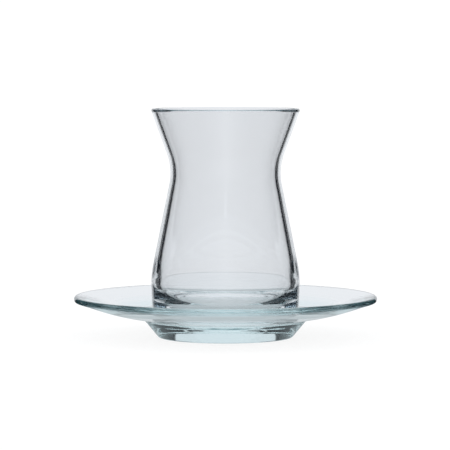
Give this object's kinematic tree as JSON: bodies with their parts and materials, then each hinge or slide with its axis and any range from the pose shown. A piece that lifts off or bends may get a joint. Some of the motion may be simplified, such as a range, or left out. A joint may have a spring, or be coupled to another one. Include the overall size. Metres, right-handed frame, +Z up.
{
  "type": "tea glass with saucer",
  "caption": "Empty clear tea glass with a slim waist and flared rim, standing in the well of its footed clear glass saucer, for serving hot tea.",
  "frame": {"origin": "centre of the saucer's foot ring, on the table", "axes": "+Z up along the common axis of the glass and the saucer"},
  "size_m": [0.118, 0.118, 0.089],
  "materials": {
    "glass_clear": "fire-polished clear soda-lime glass",
    "saucer_clear": "pressed clear soda-lime glass, faintly blue-green in the thick"
  },
  "bodies": {
    "root": {"tea_glass": "glass_clear", "saucer": "saucer_clear"}
  },
  "joints": []
}
